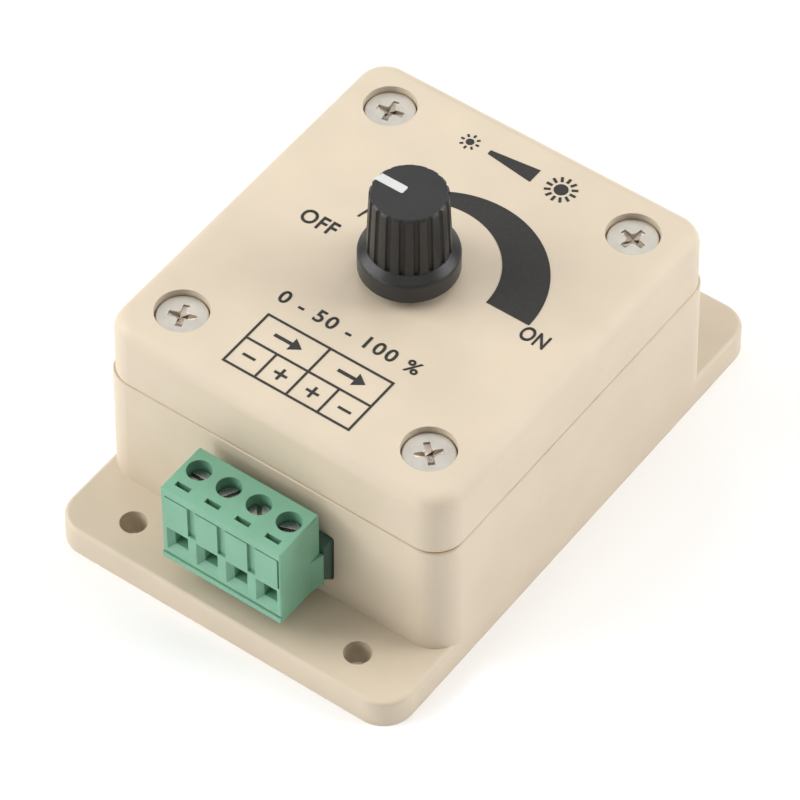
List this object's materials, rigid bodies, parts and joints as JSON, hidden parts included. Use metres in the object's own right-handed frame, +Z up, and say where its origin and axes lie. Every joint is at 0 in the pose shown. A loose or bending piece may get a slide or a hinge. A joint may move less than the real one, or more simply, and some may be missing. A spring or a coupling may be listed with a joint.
{
  "type": "surface-mounted dimmer",
  "caption": "Surface-mounted rotary dimmer: an eared plastic box with a screwed lid, a fluted pointer knob on top and a pull-off screw-terminal plug at one end.",
  "frame": {"origin": "middle of the underside, on the mounting surface", "axes": "+X to the right along the terminal side, +Y away from the terminals along the case's length, +Z up out of the lid"},
  "size_m": [0.059, 0.089, 0.051],
  "materials": {
    "case_plastic": "fine satin moulding, ivory",
    "screw_steel": "bright nickel plate",
    "board_laminate": "green lacquer",
    "terminal_plastic": "satin green moulding",
    "tinned_metal": "tin plate",
    "nickel_metal": "nickel plate",
    "phenolic": "brown laminate",
    "shaft_aluminium": "turned",
    "rotor_plastic": "natural nylon",
    "wire_sheath": "flexible sheath",
    "knob_plastic": "fine matt moulding",
    "pointer_white": "white fill",
    "print_ink": "black screen print",
    "capacitor_sleeve": "shrunk sleeve",
    "chip_epoxy": "moulded epoxy",
    "resistor_coat": "lacquer",
    "clamp_steel": "zinc plate",
    "cage_brass": "plated brass"
  },
  "bodies": {
    "case": {"base_shell": "case_plastic", "lid_shell": "case_plastic", "lid_screws": "screw_steel", "circuit_board": "board_laminate", "board_screws": "screw_steel", "terminal_header": "terminal_plastic", "header_pins": "tinned_metal", "pot_bushing": "nickel_metal", "pot_wafer": "phenolic", "pot_lugs": "tinned_metal", "pot_can": "nickel_metal", "pot_washer": "nickel_metal", "pot_nut": "nickel_metal", "pot_wires": "wire_sheath", "scale_print": "print_ink", "table_print": "print_ink", "capacitor": "capacitor_sleeve", "timer_chip": "chip_epoxy", "chip_legs": "tinned_metal", "power_transistor": "chip_epoxy", "transistor_frame": "tinned_metal", "diode": "chip_epoxy", "resistors": "resistor_coat", "component_leads": "tinned_metal"},
    "knob": {"knob": "knob_plastic", "knob_pointer": "pointer_white", "pot_shaft": "shaft_aluminium", "pot_wiper": "rotor_plastic"},
    "plug": {"plug_housing": "terminal_plastic", "plug_contacts": "tinned_metal"},
    "clamp_screw_1": {"clamp_screw_1": "clamp_steel"},
    "clamp_cage_1": {"clamp_cage_1": "cage_brass"},
    "clamp_screw_2": {"clamp_screw_2": "clamp_steel"},
    "clamp_cage_2": {"clamp_cage_2": "cage_brass"},
    "clamp_screw_3": {"clamp_screw_3": "clamp_steel"},
    "clamp_cage_3": {"clamp_cage_3": "cage_brass"},
    "clamp_screw_4": {"clamp_screw_4": "clamp_steel"},
    "clamp_cage_4": {"clamp_cage_4": "cage_brass"}
  },
  "joints": [
    {"name": "knob_turn", "type": "hinge", "parent": "case", "child": "knob", "pos_m": [0, 0, 0.035], "axis": [0, 0, 1], "range_deg": [-240, 60]},
    {"name": "plug_pull", "type": "slide", "parent": "case", "child": "plug", "axis": [0, -1, 0], "range_m": [0, 0.009]},
    {"name": "clamp_screw_1_turn", "type": "hinge", "parent": "plug", "child": "clamp_screw_1", "pos_m": [-0.00762, -0.03775, 0.0203], "axis": [0, 0, -1], "range_deg": [0, 1584]},
    {"name": "clamp_cage_1_lift", "type": "slide", "parent": "plug", "child": "clamp_cage_1", "axis": [0, 0, 1], "range_m": [0, 0.0022]},
    {"name": "clamp_screw_2_turn", "type": "hinge", "parent": "plug", "child": "clamp_screw_2", "pos_m": [-0.00254, -0.03775, 0.0203], "axis": [0, 0, -1], "range_deg": [0, 1584]},
    {"name": "clamp_cage_2_lift", "type": "slide", "parent": "plug", "child": "clamp_cage_2", "axis": [0, 0, 1], "range_m": [0, 0.0022]},
    {"name": "clamp_screw_3_turn", "type": "hinge", "parent": "plug", "child": "clamp_screw_3", "pos_m": [0.00254, -0.03775, 0.0203], "axis": [0, 0, -1], "range_deg": [0, 1584]},
    {"name": "clamp_cage_3_lift", "type": "slide", "parent": "plug", "child": "clamp_cage_3", "axis": [0, 0, 1], "range_m": [0, 0.0022]},
    {"name": "clamp_screw_4_turn", "type": "hinge", "parent": "plug", "child": "clamp_screw_4", "pos_m": [0.00762, -0.03775, 0.0203], "axis": [0, 0, -1], "range_deg": [0, 1584]},
    {"name": "clamp_cage_4_lift", "type": "slide", "parent": "plug", "child": "clamp_cage_4", "axis": [0, 0, 1], "range_m": [0, 0.0022]}
  ],
  "couplings": [
    {"joint": "clamp_screw_1_turn", "follows": "clamp_cage_1_lift", "rad_per_m": 12566},
    {"joint": "clamp_screw_2_turn", "follows": "clamp_cage_2_lift", "rad_per_m": 12566},
    {"joint": "clamp_screw_3_turn", "follows": "clamp_cage_3_lift", "rad_per_m": 12566},
    {"joint": "clamp_screw_4_turn", "follows": "clamp_cage_4_lift", "rad_per_m": 12566}
  ]
}
